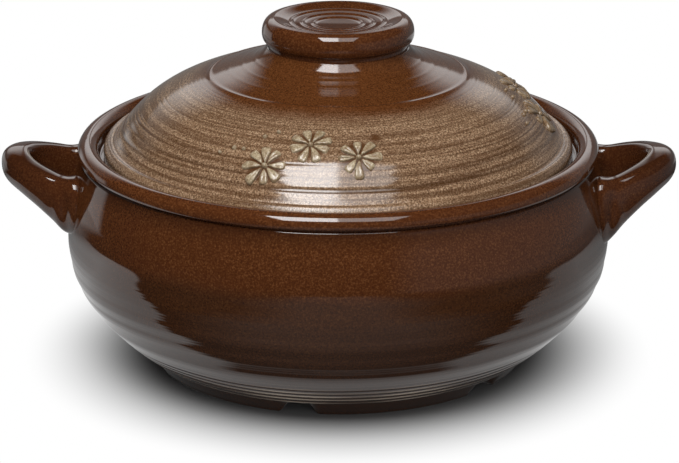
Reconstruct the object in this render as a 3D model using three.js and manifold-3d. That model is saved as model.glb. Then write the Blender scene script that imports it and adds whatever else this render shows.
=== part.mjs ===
// Korean stoneware pot: a thrown bowl on a notched foot ring, two pulled loop handles,
// a domed lid with a dished knob, and three groups of applied daisies on the lid.
// Millimetres, +Z up. The origin is on the table under the middle of the pot,
// the handles lie along X, and the front of the pot faces -Y.

import * as THREE from 'three';
import { mergeVertices } from 'three/addons/utils/BufferGeometryUtils.js';
import Module from 'manifold-3d';

// Clay pieces are laid or stuck on one another with this gap.
const luting = 0.3;

// Foot ring
const footRadius = 76.3; // outside, on the table
const footFlare = 3; // how much wider the ring is at its top
const footHeight = 6.5;
const footWidth = 11; // radial width on the table
const footEdge = 1; // bevel along both lower edges
const notchCount = 6;
const notchWidth = 14; // on the table
const notchCrown = 6; // at the notch's flat top
const notchHeight = 4.8;
const firstNotch = -11.7; // degrees from the front, positive to the right

// Bowl
const bowlHeight = 91.2; // table to the crest of the rim
const bellyRadius = 110;
const bellyHeight = 53; // height of the widest place
const heelStep = 2.5; // how far the bowl's heel stands out past the foot ring
const heelReach = 29.9; // how far the heel's slope leads the belly's curve
const heelSlope = 38; // degrees up from the table
const lowerSwell = 16; // how far below the widest place its upright leads the curve
const upperSwell = 17; // the same above it
const shoulderReach = 4; // how far the groove's slope leads the shoulder's curve
const rimRadius = 105.4;
const rimWidth = 8.4;
const rimBand = 6.8; // crest of the rim down to the groove under its band
const rimRound = 4.6; // rounding of the rim's outer edge
const grooveDepth = 2;
const grooveRise = 1.8; // height of the groove's upper bevel
const wall = 7;
const floorThickness = 8;
const floorRadius = 58; // flat middle of the inside
const ledgeDrop = 7.4; // crest of the rim down to the lid's ledge
const ledgeWidth = 6.5;
const ledgeThickness = 4.5;

// Lid
const lidClearance = 2.2; // radial gap between the lid and the rim
const lidEdgeHeight = 3;
const lidEdgeRound = 0.9;
const ridgeRise = 7; // seat to the ridge where the dome starts
const ridgeSetback = 4.2; // the ridge lies this far in from the edge
const domeRise = 33.7; // seat to the foot of the neck
const ridgeSlope = 55.6; // degrees, where the dome leaves the ridge
const ridgeReach = 24.7;
const crownSlope = 20.4; // degrees, where the dome meets the neck
const crownReach = 11.2;
const neckRadius = 51;
const neckRise = 10.5; // foot of the neck to its flat top
const neckSlope = 20.4; // degrees, at the neck's foot
const neckReach = 10.7;
const stemRadius = 26.2;
const stemSlope = 80.5; // degrees, where the neck meets the knob's stem
const stemReach = 6.1;
const crownThickness = 9;
const seatWidth = 8; // radial width of the lid's flat lower face

// Knob
const knobRadius = 30.6;
const knobHeight = 11.9;
const knobUndercut = 1.8; // height of the stem that shows under the disc
const knobHeel = 4.2; // rounding of the disc's lower edge
const knobLip = 6.4; // rounding of its upper edge, out from the dish
const dishDepth = 3;
const dishRadius = 19.2; // outermost ring turned in the dish
const dishRings = 2;
const ringPitch = 4.8;
const ringHeight = 0.5;

// Handles: each is a half-oval strap whose middle lies inside the bowl's wall
const handleProjection = 26.8; // how far the loop stands out past the belly
const loopSink = 13; // how far inside the belly's radius the loop's middle lies
const halfSpread = 24; // middle of the loop to the strap's centre line, along the wall
const tipThickness = 12;
const limbThickness = 8.5;
const tipHeight = 12.4;
const limbHeight = 35.6;
const tipRise = 1.8; // the tip's upper edge above the groove under the rim band
const limbDrop = 10.2; // fall of the upper edge from the tip to the loop's middle
const limbTaper = 1.45; // how late the lower edge falls away from the tip
const handleSides = [
  { name: 'left_handle', turn: Math.PI },
  { name: 'right_handle', turn: 0 },
];

// Daisies: place in from the lid's edge and turn from the middle of the group
const flowerGroups = 3;
const firstGroup = -8.3; // degrees from the front, positive to the right
const groupSpacing = 105.3; // degrees between the middles of neighbouring groups
const flowerHeight = 1.8; // relief in the flower's middle
const flowerSink = 2.4; // how deep its block reaches into the dome before its back is cut
const petalCount = 8;
const petalRoot = 0.5; // valley between two petals, as a share of the flower's radius
const petalSwell = 1.17; // reach of a petal's curve, as a share of the flower's radius
const petalFullness = 0.8; // width of that curve, as a share of the petal's pitch
const petalEdge = 0.6; // bevel around the petals
const flowers = [
  { name: 'low', inset: 13.6, turn: -11.8, radius: 9.3 },
  { name: 'top', inset: 22.5, turn: 0, radius: 8.6 },
  { name: 'mid', inset: 17, turn: 14.5, radius: 9.2 },
];

// Fineness of the turned and lofted surfaces
const turnSteps = 48;
const curveSteps = 6;
const edgeSteps = 3;
const petalSteps = 4;
const loopSteps = 20;
const sectionSteps = 10;
const mergeDistance = 1e-4;

// Heights and radii that follow from the sizes above
const bowlBase = footHeight + luting;
const footTopRadius = footRadius + footFlare;
const heelRadius = footTopRadius + heelStep;
const grooveRadius = rimRadius - grooveDepth;
const grooveHeight = bowlHeight - rimBand;
const rimInside = rimRadius - rimWidth;
const rimCrest = rimInside + rimWidth / 2;
const ledgeHeight = bowlHeight - ledgeDrop;
const ledgeInside = rimInside - ledgeWidth;
const lidBase = ledgeHeight + luting;
const lidRadius = rimInside - lidClearance;
const ridgeRadius = lidRadius - ridgeSetback;
const lidTop = domeRise + neckRise;

const front = -Math.PI / 2;
const radians = THREE.MathUtils.degToRad;

const wasm = await Module();
wasm.setup();

function solidOf(geometry) {
  const bare = geometry.index ? geometry.toNonIndexed() : geometry.clone();
  bare.deleteAttribute('normal');
  bare.deleteAttribute('uv');
  const merged = mergeVertices(bare, mergeDistance);
  const corners = merged.index.array;
  const triangles = [];
  for (let i = 0; i < corners.length; i += 3) {
    const [a, b, c] = corners.subarray(i, i + 3);
    if (a !== b && b !== c && c !== a) triangles.push(a, b, c);
  }
  return new wasm.Manifold(
    new wasm.Mesh({
      numProp: 3,
      vertProperties: merged.attributes.position.array,
      triVerts: new Uint32Array(triangles),
    }),
  );
}

function geometryOf(solid) {
  const { vertProperties, triVerts } = solid.getMesh();
  const geometry = new THREE.BufferGeometry();
  geometry.setAttribute('position', new THREE.BufferAttribute(vertProperties, 3));
  geometry.setIndex(new THREE.BufferAttribute(triVerts, 1));
  geometry.computeVertexNormals();
  return geometry;
}

// An outline of (radius, height) points turned about the Z axis.
function turned(points) {
  return new THREE.LatheGeometry(points, turnSteps).rotateX(Math.PI / 2);
}

// The outline moved outward along its own normals.
function grown(points, distance) {
  return points.map((point, i) => {
    const before = points[Math.max(i - 1, 0)];
    const after = points[Math.min(i + 1, points.length - 1)];
    const course = after.clone().sub(before).normalize();
    return new THREE.Vector2(point.x + course.y * distance, point.y - course.x * distance);
  });
}

// A solid of revolution filled from an outside outline to the axis.
function filled(outline) {
  const bottom = new THREE.Vector2(0, outline[0].y);
  const top = new THREE.Vector2(0, outline.at(-1).y);
  return solidOf(turned([bottom, ...outline, top]));
}

// The place a given distance along a slope, in degrees up from the horizontal.
function along(x, y, distance, slope) {
  const angle = radians(slope);
  return [x + distance * Math.cos(angle), y + distance * Math.sin(angle)];
}

// The bowl's outside from the heel up to the crest of the rim.
function bowlOutside() {
  const side = new THREE.Path();
  side.moveTo(heelRadius, bowlBase);
  side.bezierCurveTo(
    ...along(heelRadius, bowlBase, heelReach, heelSlope),
    bellyRadius, bellyHeight - lowerSwell,
    bellyRadius, bellyHeight,
  );
  side.bezierCurveTo(
    bellyRadius, bellyHeight + upperSwell,
    rimRadius, grooveHeight - shoulderReach,
    grooveRadius, grooveHeight,
  );
  const rim = new THREE.Path();
  rim.moveTo(rimRadius, grooveHeight + grooveRise);
  rim.lineTo(rimRadius, bowlHeight - rimRound);
  rim.quadraticCurveTo(rimRadius, bowlHeight, rimCrest, bowlHeight);
  return [...side.getPoints(curveSteps), ...rim.getPoints(edgeSteps)];
}

// The bowl's inside from under the crest of the rim, over the ledge, down to the axis.
function bowlInside() {
  const floor = bowlBase + floorThickness;
  const inside = bellyRadius - wall;
  const rim = new THREE.Path();
  rim.moveTo(rimCrest, bowlHeight);
  rim.quadraticCurveTo(rimInside, bowlHeight, rimInside, bowlHeight - rimRound);
  rim.lineTo(rimInside, ledgeHeight);
  rim.lineTo(ledgeInside, ledgeHeight);
  const hollow = new THREE.Path();
  hollow.moveTo(ledgeInside, ledgeHeight - ledgeThickness);
  hollow.bezierCurveTo(
    ledgeInside + ledgeWidth, ledgeHeight - ledgeThickness - ledgeWidth,
    inside, bellyHeight + upperSwell,
    inside, bellyHeight,
  );
  hollow.bezierCurveTo(
    inside, bellyHeight - lowerSwell,
    floorRadius + heelReach, floor,
    floorRadius, floor,
  );
  hollow.lineTo(0, floor);
  return [...rim.getPoints(edgeSteps).slice(1), ...hollow.getPoints(curveSteps)];
}

function bowlGeometry() {
  return turned([new THREE.Vector2(0, bowlBase), ...bowlOutside(), ...bowlInside()]);
}

// A ring with bevelled lower edges, less an arched notch at each place around it.
function footGeometry() {
  const inside = footRadius - footWidth;
  const outline = [
    [inside + footEdge, 0],
    [footRadius - footEdge, 0],
    [footRadius, footEdge],
    [footTopRadius, footHeight],
    [inside, footHeight],
    [inside, footEdge],
    [inside + footEdge, 0],
  ];
  let ring = solidOf(turned(outline.map(([radius, height]) => new THREE.Vector2(radius, height))));
  const arch = new THREE.Shape();
  const spring = notchWidth / 2;
  const crown = notchCrown / 2;
  const bend = (spring + crown) / 2;
  arch.moveTo(-spring, -footEdge);
  arch.lineTo(spring, -footEdge);
  arch.lineTo(spring, 0);
  arch.bezierCurveTo(bend, 0, bend, notchHeight, crown, notchHeight);
  arch.lineTo(-crown, notchHeight);
  arch.bezierCurveTo(-bend, notchHeight, -bend, 0, -spring, 0);
  const depth = footWidth + footFlare + 2 * footEdge;
  for (let i = 0; i < notchCount; i += 1) {
    const cut = new THREE.ExtrudeGeometry(arch, { depth, bevelEnabled: false, curveSegments: edgeSteps });
    cut.rotateX(Math.PI / 2);
    cut.translate(0, -(inside - footEdge), 0);
    cut.rotateZ(radians(firstNotch) + (2 * Math.PI * i) / notchCount);
    ring = ring.subtract(solidOf(cut));
  }
  return geometryOf(ring);
}

// The strap's section at a place along the loop, from -1 at one root through 0 at the tip to 1.
function handleSection(place) {
  const angle = (Math.PI / 2) * place;
  const loopMiddle = bellyRadius - loopSink;
  const loopDepth = handleProjection + loopSink - tipThickness / 2;
  const middleX = loopMiddle + loopDepth * Math.cos(angle);
  const middleY = halfSpread * Math.sin(angle);
  const outward = new THREE.Vector2(halfSpread * Math.cos(angle), loopDepth * Math.sin(angle)).normalize();
  const inward = 1 - Math.cos(angle);
  const tipTop = grooveHeight + tipRise;
  const top = tipTop - limbDrop * inward;
  const bottom = tipTop - tipHeight - (limbDrop + limbHeight - tipHeight) * inward ** limbTaper;
  const thickness = THREE.MathUtils.lerp(tipThickness, limbThickness, inward);
  const ring = [];
  for (let i = 0; i < sectionSteps; i += 1) {
    const around = (2 * Math.PI * i) / sectionSteps;
    const out = (thickness / 2) * Math.cos(around);
    const height = (top + bottom) / 2 + ((top - bottom) / 2) * Math.sin(around);
    ring.push(new THREE.Vector3(middleX + outward.x * out, middleY + outward.y * out, height));
  }
  return ring;
}

// A closed skin over rings of equally many points, with a fan over each end.
function lofted(rings) {
  const count = rings[0].length;
  const middleOf = (ring) => ring.reduce((sum, p) => sum.add(p), new THREE.Vector3()).divideScalar(count);
  const points = [...rings.flat(), middleOf(rings[0]), middleOf(rings.at(-1))];
  const last = (rings.length - 1) * count;
  const triangles = [];
  for (let j = 0; j < count; j += 1) {
    const next = (j + 1) % count;
    for (let row = 0; row < last; row += count) {
      triangles.push(row + j, row + count + j, row + count + next);
      triangles.push(row + j, row + count + next, row + next);
    }
    triangles.push(points.length - 2, j, next);
    triangles.push(points.length - 1, last + next, last + j);
  }
  const geometry = new THREE.BufferGeometry().setFromPoints(points);
  geometry.setIndex(triangles);
  return geometry;
}

function handleGeometry(side) {
  const rings = [];
  for (let i = 0; i <= loopSteps; i += 1) {
    rings.push(handleSection((2 * i) / loopSteps - 1));
  }
  const loop = solidOf(lofted(rings).rotateZ(side.turn));
  return geometryOf(loop.subtract(filled(grown(bowlOutside(), luting))));
}

// The lid's outside from its seat over the ridge and the dome to the neck's flat top.
function lidOutside() {
  const edge = new THREE.Path();
  edge.moveTo(lidRadius - lidEdgeRound, 0);
  edge.lineTo(lidRadius, lidEdgeRound);
  edge.lineTo(lidRadius, lidEdgeHeight);
  edge.quadraticCurveTo(lidRadius, ridgeRise - ridgeSetback / 2, ridgeRadius, ridgeRise);
  const dome = new THREE.Path();
  dome.moveTo(ridgeRadius, ridgeRise);
  dome.bezierCurveTo(
    ...along(ridgeRadius, ridgeRise, ridgeReach, 180 - ridgeSlope),
    ...along(neckRadius, domeRise, crownReach, -crownSlope),
    neckRadius, domeRise,
  );
  dome.bezierCurveTo(
    ...along(neckRadius, domeRise, neckReach, 180 - neckSlope),
    ...along(stemRadius, lidTop, stemReach, -stemSlope),
    stemRadius, lidTop,
  );
  return [...edge.getPoints(edgeSteps), ...dome.getPoints(curveSteps).slice(1)];
}

function lidGeometry() {
  const seatInside = lidRadius - seatWidth;
  const ceiling = lidTop - crownThickness;
  const hollow = new THREE.Path();
  hollow.moveTo(0, ceiling);
  hollow.bezierCurveTo(neckRadius, ceiling, seatInside, ceiling / 2, seatInside, 0);
  return turned([...hollow.getPoints(curveSteps), ...lidOutside(), new THREE.Vector2(0, lidTop)]);
}

function knobGeometry() {
  const lipRadius = knobRadius - knobLip;
  const waist = knobHeight / 2;
  const path = new THREE.Path();
  path.moveTo(0, 0);
  path.lineTo(stemRadius, 0);
  path.lineTo(stemRadius, knobUndercut);
  path.lineTo(knobRadius - knobHeel, knobUndercut);
  path.quadraticCurveTo(knobRadius, knobUndercut, knobRadius, waist);
  path.quadraticCurveTo(knobRadius, knobHeight, lipRadius, knobHeight);
  for (let i = 0; i < dishRings; i += 1) {
    const radius = dishRadius - ringPitch * i;
    const floor = knobHeight - (dishDepth * (i + 1)) / (dishRings + 1);
    path.lineTo(radius + ringHeight, floor - ringHeight);
    path.lineTo(radius, floor);
  }
  path.lineTo(0, knobHeight - dishDepth);
  return turned(path.getPoints(edgeSteps));
}

// A daisy's outline: round-ended petals that meet in valleys around the middle.
function daisyShape(radius) {
  const shape = new THREE.Shape();
  const half = Math.PI / petalCount;
  const at = (distance, angle) => [distance * Math.cos(angle), distance * Math.sin(angle)];
  shape.moveTo(...at(radius * petalRoot, -half));
  for (let i = 0; i < petalCount; i += 1) {
    const middle = 2 * half * i;
    const reach = radius * petalSwell;
    shape.bezierCurveTo(
      ...at(reach, middle - half * petalFullness),
      ...at(reach, middle + half * petalFullness),
      ...at(radius * petalRoot, middle + half),
    );
  }
  return shape;
}

// A daisy pressed on the dome: its back follows the clay under it.
function flowerGeometry(flower, groupAngle) {
  const outline = lidOutside();
  const distance = lidRadius - flower.inset;
  const upper = outline.findIndex((point) => point.x < distance && point.y > ridgeRise);
  const low = outline[upper - 1];
  const high = outline[upper];
  const share = (low.x - distance) / (low.x - high.x);
  const height = THREE.MathUtils.lerp(low.y, high.y, share);
  const tilt = Math.atan2(low.x - high.x, high.y - low.y);
  const daisy = new THREE.ExtrudeGeometry(daisyShape(flower.radius - petalEdge), {
    depth: flowerHeight + flowerSink - petalEdge,
    bevelThickness: petalEdge,
    bevelSize: petalEdge,
    bevelSegments: 1,
    curveSegments: petalSteps,
  });
  daisy.translate(0, 0, -flowerSink);
  daisy.rotateY(Math.PI / 2 - tilt);
  daisy.translate(distance, 0, height);
  daisy.rotateZ(groupAngle + radians(flower.turn));
  return geometryOf(solidOf(daisy).subtract(filled(grown(outline, luting))));
}

const glazeLook = { color: '#3b2214', roughness: 0.18, metalness: 0 };
const combedLook = { color: '#8f6d4d', roughness: 0.35, metalness: 0 };
const petalLook = { color: '#cdb699', roughness: 0.45, metalness: 0 };

function piece(name, geometry, look) {
  const mesh = new THREE.Mesh(geometry, new THREE.MeshStandardMaterial(look));
  mesh.name = name;
  return mesh;
}

const pot = new THREE.Group();
pot.add(piece('bowl', bowlGeometry(), glazeLook));
pot.add(piece('foot_ring', footGeometry(), glazeLook));
for (const side of handleSides) {
  pot.add(piece(side.name, handleGeometry(side), glazeLook));
}

const cover = new THREE.Group();
cover.position.z = lidBase;
cover.add(piece('lid', lidGeometry(), combedLook));
const knob = piece('lid_knob', knobGeometry(), glazeLook);
knob.position.z = lidTop + luting;
cover.add(knob);
for (let i = 0; i < flowerGroups; i += 1) {
  const groupAngle = front + radians(firstGroup + groupSpacing * i);
  for (const flower of flowers) {
    cover.add(piece(`daisy_${i + 1}_${flower.name}`, flowerGeometry(flower, groupAngle), petalLook));
  }
}
pot.add(cover);

export default pot;
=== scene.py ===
import math
import bpy
import numpy as np
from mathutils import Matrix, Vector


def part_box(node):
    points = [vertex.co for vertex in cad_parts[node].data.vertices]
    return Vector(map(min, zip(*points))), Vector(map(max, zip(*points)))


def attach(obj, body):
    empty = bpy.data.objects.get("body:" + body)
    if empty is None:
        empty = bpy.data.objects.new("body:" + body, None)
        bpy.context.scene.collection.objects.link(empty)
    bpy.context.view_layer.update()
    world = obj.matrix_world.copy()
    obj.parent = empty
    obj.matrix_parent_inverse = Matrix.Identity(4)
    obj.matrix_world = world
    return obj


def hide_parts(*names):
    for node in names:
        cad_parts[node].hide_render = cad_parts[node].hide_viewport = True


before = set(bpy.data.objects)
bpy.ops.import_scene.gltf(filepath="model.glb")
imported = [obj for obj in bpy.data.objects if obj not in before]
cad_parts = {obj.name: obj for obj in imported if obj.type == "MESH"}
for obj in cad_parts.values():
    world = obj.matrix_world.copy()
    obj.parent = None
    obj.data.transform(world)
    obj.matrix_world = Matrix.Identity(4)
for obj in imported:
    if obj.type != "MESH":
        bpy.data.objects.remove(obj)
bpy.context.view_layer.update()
mm = 0.001
print("frame loaded:", len(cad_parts), "nodes")


def tint(hexColour):
    # sRGB hex to the linear colour a shader takes
    channels = [int(hexColour[i:i + 2], 16) / 255 for i in (1, 3, 5)]
    linear = [c / 12.92 if c <= 0.04045 else ((c + 0.055) / 1.055) ** 2.4 for c in channels]
    return (*linear, 1.0)


def addNode(tree, kind, settings=None, links=None):
    node = tree.nodes.new("ShaderNode" + kind)
    for key, value in (settings or {}).items():
        if key == "stops":  # places and colours of a ramp
            ramp = node.color_ramp
            ramp.elements[0].position = value[0][0]
            ramp.elements[1].position = value[-1][0]
            for place, colour in value[1:-1]:
                ramp.elements.new(place)
            for element, (place, colour) in zip(ramp.elements, value):
                element.color = tint(colour)
        elif isinstance(key, int) or key in node.inputs:
            node.inputs[key].default_value = value
        else:
            setattr(node, key, value)
    for key, source in (links or {}).items():
        tree.links.new(source, node.inputs[key])
    return node


def newMaterial(name):
    material = bpy.data.materials.new(name)
    material.use_nodes = True
    tree = material.node_tree
    tree.nodes.clear()
    return material, tree


def deselectAll():
    if bpy.context.object and bpy.context.object.mode != "OBJECT":
        bpy.ops.object.mode_set(mode="OBJECT")
    bpy.ops.object.select_all(action="DESELECT")


def bendTo(start, pullA, pullB, end, steps):
    # points along a cubic curve, without its first one
    points = []
    for i in range(1, steps + 1):
        t = i / steps
        s = 1 - t
        weights = (s ** 3, 3 * s * s * t, 3 * s * t * t, t ** 3)
        points.append(tuple(sum(w * p[k] for w, p in zip(weights, (start, pullA, pullB, end)))
                            for k in (0, 1)))
    return points


def roundTo(start, corner, end, steps):
    # points round a soft corner, without the first one
    pullA = tuple(start[k] + (corner[k] - start[k]) * 2 / 3 for k in (0, 1))
    pullB = tuple(end[k] + (corner[k] - end[k]) * 2 / 3 for k in (0, 1))
    return bendTo(start, pullA, pullB, end, steps)


def throwOnWheel(name, outline, steps):
    # a plane drawn in to one point, led along the outline and spun like clay on the wheel
    deselectAll()
    bpy.ops.mesh.primitive_plane_add(size=mm)
    piece = bpy.context.object
    piece.name = name
    piece.data.name = name
    bpy.ops.object.mode_set(mode="EDIT")
    bpy.ops.mesh.select_all(action="SELECT")
    bpy.ops.mesh.merge(type="CENTER")
    bpy.ops.transform.translate(value=(outline[0][0] * mm, 0, outline[0][1] * mm))
    for here, there in zip(outline, outline[1:]):
        step = ((there[0] - here[0]) * mm, 0, (there[1] - here[1]) * mm)
        bpy.ops.mesh.extrude_vertices_move(TRANSFORM_OT_translate={"value": step})
    bpy.ops.mesh.select_all(action="SELECT")
    bpy.ops.mesh.spin(steps=steps, angle=math.tau, center=(0, 0, 0), axis=(0, 0, 1))
    bpy.ops.mesh.select_all(action="SELECT")
    bpy.ops.mesh.remove_doubles(threshold=0.01 * mm)
    bpy.ops.mesh.normals_make_consistent(inside=False)
    bpy.ops.object.mode_set(mode="OBJECT")
    bpy.ops.object.shade_smooth()
    return piece


def readPoints(piece):
    points = np.empty(len(piece.data.vertices) * 3)
    piece.data.vertices.foreach_get("co", points)
    return points.reshape(-1, 3) / mm


def writePoints(piece, points):
    piece.data.vertices.foreach_set("co", (points * mm).ravel())
    piece.data.update()


def writeAttribute(piece, name, values):
    layer = piece.data.attributes.new(name, "FLOAT", "POINT")
    layer.data.foreach_set("value", values.astype(np.float32))


def wobble(piece, size, depth):
    # the slow unevenness a hand leaves in clay
    deselectAll()
    piece.select_set(True)
    bpy.context.view_layer.objects.active = piece
    texture = bpy.data.textures.new(piece.name + "Wobble", "CLOUDS")
    texture.noise_scale = size * mm
    texture.noise_depth = 1
    bpy.ops.object.modifier_add(type="DISPLACE")
    modifier = piece.modifiers[-1]
    modifier.texture = texture
    modifier.texture_coords = "LOCAL"
    modifier.mid_level = 0.5
    modifier.strength = depth * mm
    bpy.ops.object.modifier_apply(modifier=modifier.name)


def finishPiece(piece, body, slot, materials, *nodes):
    for material in materials:
        piece.data.materials.append(material)
    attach(piece, body)
    if nodes:
        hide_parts(*nodes)


# iron-brown stoneware glaze: glassy and smooth, grainy with rust specks, darker low on the belly and where it
# lies thick on the handles, painted shade under the rim
brownGlazeLook = {
    "grainSize": 0.75,  # finer in the clay, drawn this coarse so it shows
    "speckSpacing": 2.1,
    "patchSize": 38,
    "rippleSize": 7,
    "darkerBelow": (56, 65),  # darker below a line that lies between these heights
    "shoulder": (76, 84),  # painted shade under the rim band, between these heights; it darkens the handles' tops as well
    "bandStart": (84.8, 86),
    "lineDrift": 9,  # how far that line wanders up and down
    "rippleDepth": 0.12,
}


def makeBrownGlaze():
    look = brownGlazeLook
    material, tree = newMaterial("ironBrownGlaze")
    coords = addNode(tree, "TexCoord").outputs["Object"]
    grain = addNode(tree, "TexNoise", {"Scale": 1 / (look["grainSize"] * mm), "Detail": 2.0,
                                       "Roughness": 0.65}, {"Vector": coords})
    grainColour = addNode(tree, "ValToRGB", {"stops": [(0.31, "#3b1e0e"), (0.5, "#4b2813"),
                                                       (0.69, "#633d22")]},
                          {"Fac": grain.outputs["Fac"]})
    specks = addNode(tree, "TexVoronoi", {"Scale": 1 / (look["speckSpacing"] * mm)}, {"Vector": coords})
    speckMask = addNode(tree, "MapRange", {"From Min": 0.08, "From Max": 0.2, "To Min": 0.3, "To Max": 0.0},
                        {"Value": specks.outputs["Distance"]})
    patches = addNode(tree, "TexNoise", {"Scale": 1 / (look["patchSize"] * mm), "Detail": 3.0},
                      {"Vector": coords})
    patchMask = addNode(tree, "MapRange", {"From Min": 0.35, "From Max": 0.68, "To Min": 0.0, "To Max": 0.4},
                        {"Value": patches.outputs["Fac"]})
    heights = addNode(tree, "SeparateXYZ", None, {"Vector": coords})
    drift = addNode(tree, "Math", {"operation": "MULTIPLY_ADD", 1: look["lineDrift"] * mm,
                                    2: -look["lineDrift"] / 2 * mm}, {0: patches.outputs["Fac"]})
    level = addNode(tree, "Math", {"operation": "ADD"}, {0: heights.outputs["Z"], 1: drift.outputs["Value"]})
    lowerDarkMask = addNode(tree, "MapRange", {"interpolation_type": "SMOOTHSTEP",
                                         "From Min": look["darkerBelow"][0] * mm,
                                         "From Max": look["darkerBelow"][1] * mm,
                                         "To Min": 0.48, "To Max": 0.0}, {"Value": level.outputs["Value"]})
    rimShadeMask = addNode(tree, "MapRange", {"interpolation_type": "SMOOTHSTEP",
                                              "From Min": look["shoulder"][0] * mm,
                                              "From Max": look["shoulder"][1] * mm,
                                              "To Min": 0.0, "To Max": 0.45}, {"Value": heights.outputs["Z"]})
    bandMask = addNode(tree, "MapRange", {"From Min": look["bandStart"][0] * mm,
                                          "From Max": look["bandStart"][1] * mm,
                                          "To Min": 1.0, "To Max": 0.0}, {"Value": heights.outputs["Z"]})
    paintedRimShade = addNode(tree, "Math", {"operation": "MULTIPLY"}, {0: rimShadeMask.outputs["Result"],
                                                                  1: bandMask.outputs["Result"]})
    thick = addNode(tree, "Attribute", {"attribute_name": "thick"})
    thin = addNode(tree, "Attribute", {"attribute_name": "thin"})
    coats = (  # each colour lies over the last one, through its mask
        ("#8a5c34", speckMask.outputs["Result"]),
        ("#40200f", patchMask.outputs["Result"]),
        # darker low on the belly, below a wandering line
        ("#21170d", lowerDarkMask.outputs["Result"]),
        # painted shade under the rim band
        ("#26140b", paintedRimShade.outputs["Value"]),
        ("#2c150d", thick.outputs["Fac"]),  # dark where it lies thick
        ("#cfc0ae", thin.outputs["Fac"]),  # painted glints and highlights on the turning lines and the handles' edges
    )
    colour = grainColour.outputs["Color"]
    for paint, mask in coats:
        coat = addNode(tree, "Mix", {"data_type": "RGBA", 7: tint(paint)}, {0: mask, 6: colour})
        colour = coat.outputs[2]
    ripple = addNode(tree, "TexNoise", {"Scale": 1 / (look["rippleSize"] * mm), "Detail": 1.0},
                     {"Vector": coords})
    bump = addNode(tree, "Bump", {"Strength": 0.25, "Distance": look["rippleDepth"] * mm},
                   {"Height": ripple.outputs["Fac"]})
    shader = addNode(tree, "BsdfPrincipled", {"Roughness": 0.06, "IOR": 1.55},
                     {"Base Color": colour, "Normal": bump.outputs["Normal"]})
    addNode(tree, "OutputMaterial", None, {"Surface": shader.outputs["BSDF"]})
    return material


# ash wash sprayed over the brown glaze and combed on the wheel: satin tan grain, dark where the comb bit
combedWashLook = {
    "grainSize": 0.65,  # finer in the ash, drawn this coarse so it shows
    "streakWidth": 1.0,
    "streakTurn": 1.2,  # how often a streak breaks off round the lid
    "lowDome": (58, 84),  # the streaks get stronger from the first reach to the second
    "driftSize": 14,
    "edgeDrift": 5,
    "grainRelief": 0.08,
    "neckEdge": (52, 64),
    "pittedEdge": (88, 91),  # the thin glaze by the edge dries pitted
}


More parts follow.
